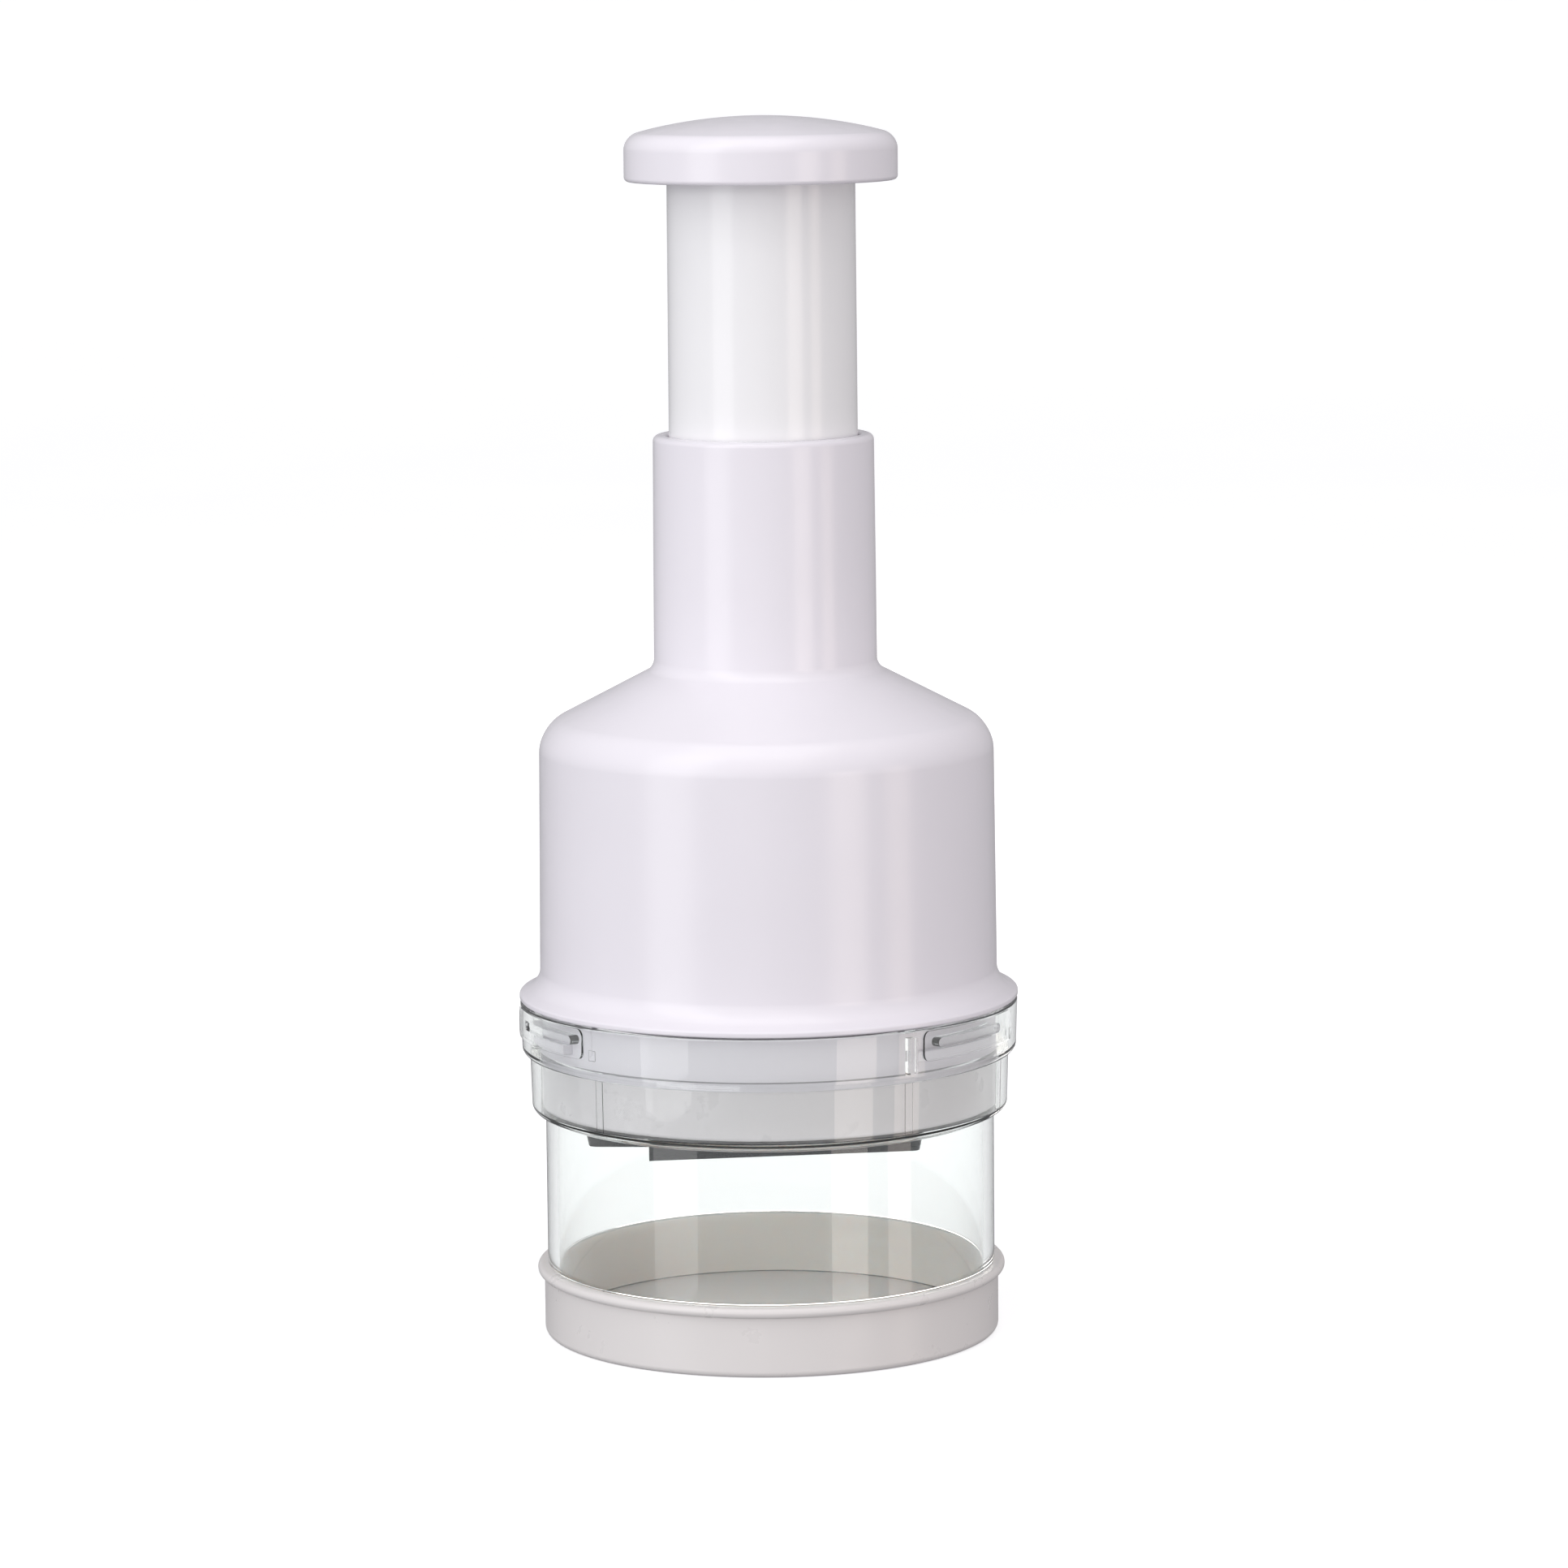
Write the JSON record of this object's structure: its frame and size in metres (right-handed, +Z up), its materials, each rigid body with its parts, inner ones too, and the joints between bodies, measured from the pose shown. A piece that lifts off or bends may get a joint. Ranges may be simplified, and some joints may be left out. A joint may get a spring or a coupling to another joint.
{
  "type": "plunger food chopper",
  "caption": "Upright plunger food chopper: a domed press knob drives a folded zigzag blade through a stripper plate into a clear cup, and a sprung saw-tooth gear turns the blade between cuts.",
  "frame": {"origin": "centre of the base cap's underside, on the surface that the chopper stands on", "axes": "+Z up along the plunger's axis, -Y towards the viewer of the picture, +X to the viewer's right"},
  "size_m": [0.0903, 0.0905, 0.22],
  "materials": {
    "white_cap": "moulded polypropylene, satin white",
    "clear_cup": "clear moulded styrene, polished",
    "white_housing": "moulded white ABS, glossy",
    "acetal": "natural white acetal, moulded",
    "bush_plastic": "bearing-grade nylon",
    "zinc_steel": "zinc-plated steel",
    "spring_steel": "drawn spring wire",
    "blade_steel": "rolled stainless strip with a ground edge"
  },
  "bodies": {
    "base": {"base_cap": "white_cap"},
    "cup": {"clear_cup": "clear_cup"},
    "housing": {"bell_housing": "white_housing", "guide_plate": "acetal", "index_crown": "acetal", "rod_bush": "bush_plastic", "plate_screws": "zinc_steel", "blade_guard": "white_housing"},
    "plunger": {"press_knob": "white_housing", "plunger_tube": "white_housing", "return_spring": "spring_steel"},
    "rotor": {"drive_rod": "zinc_steel", "thrust_washer": "zinc_steel", "rod_top_screw": "zinc_steel", "index_rotor": "acetal", "hub_pin": "zinc_steel", "blade_carrier": "acetal", "carrier_rivets": "zinc_steel", "zigzag_blade": "blade_steel"},
    "stripper": {"stripper_plate": "acetal"}
  },
  "joints": [
    {"name": "cup_lift", "type": "slide", "parent": "base", "child": "cup", "axis": [0, 0, 1], "range_m": [0, 0.03]},
    {"name": "bayonet_twist", "type": "hinge", "parent": "cup", "child": "housing", "pos_m": [0, 0, 0.0575], "axis": [0, 0, 1], "range_deg": [0, 34]},
    {"name": "plunger_slide", "type": "slide", "parent": "housing", "child": "plunger", "axis": [0, 0, -1], "range_m": [0, 0.0342], "stiffness_N_per_m": 350, "springref_m": -0.03, "deforming": ["return_spring"]},
    {"name": "blade_turn", "type": "hinge", "parent": "plunger", "child": "rotor", "pos_m": [0, 0, 0.1], "axis": [0, 0, 1], "range_deg": [0, 31]},
    {"name": "stripper_turn", "type": "hinge", "parent": "housing", "child": "stripper", "pos_m": [0, 0, 0.0445], "axis": [0, 0, 1], "range_deg": [0, 31]}
  ],
  "couplings": [
    {"joint": "blade_turn", "follows": "plunger_slide", "rad_per_m": 15.31},
    {"joint": "stripper_turn", "follows": "plunger_slide", "rad_per_m": 15.31}
  ]
}
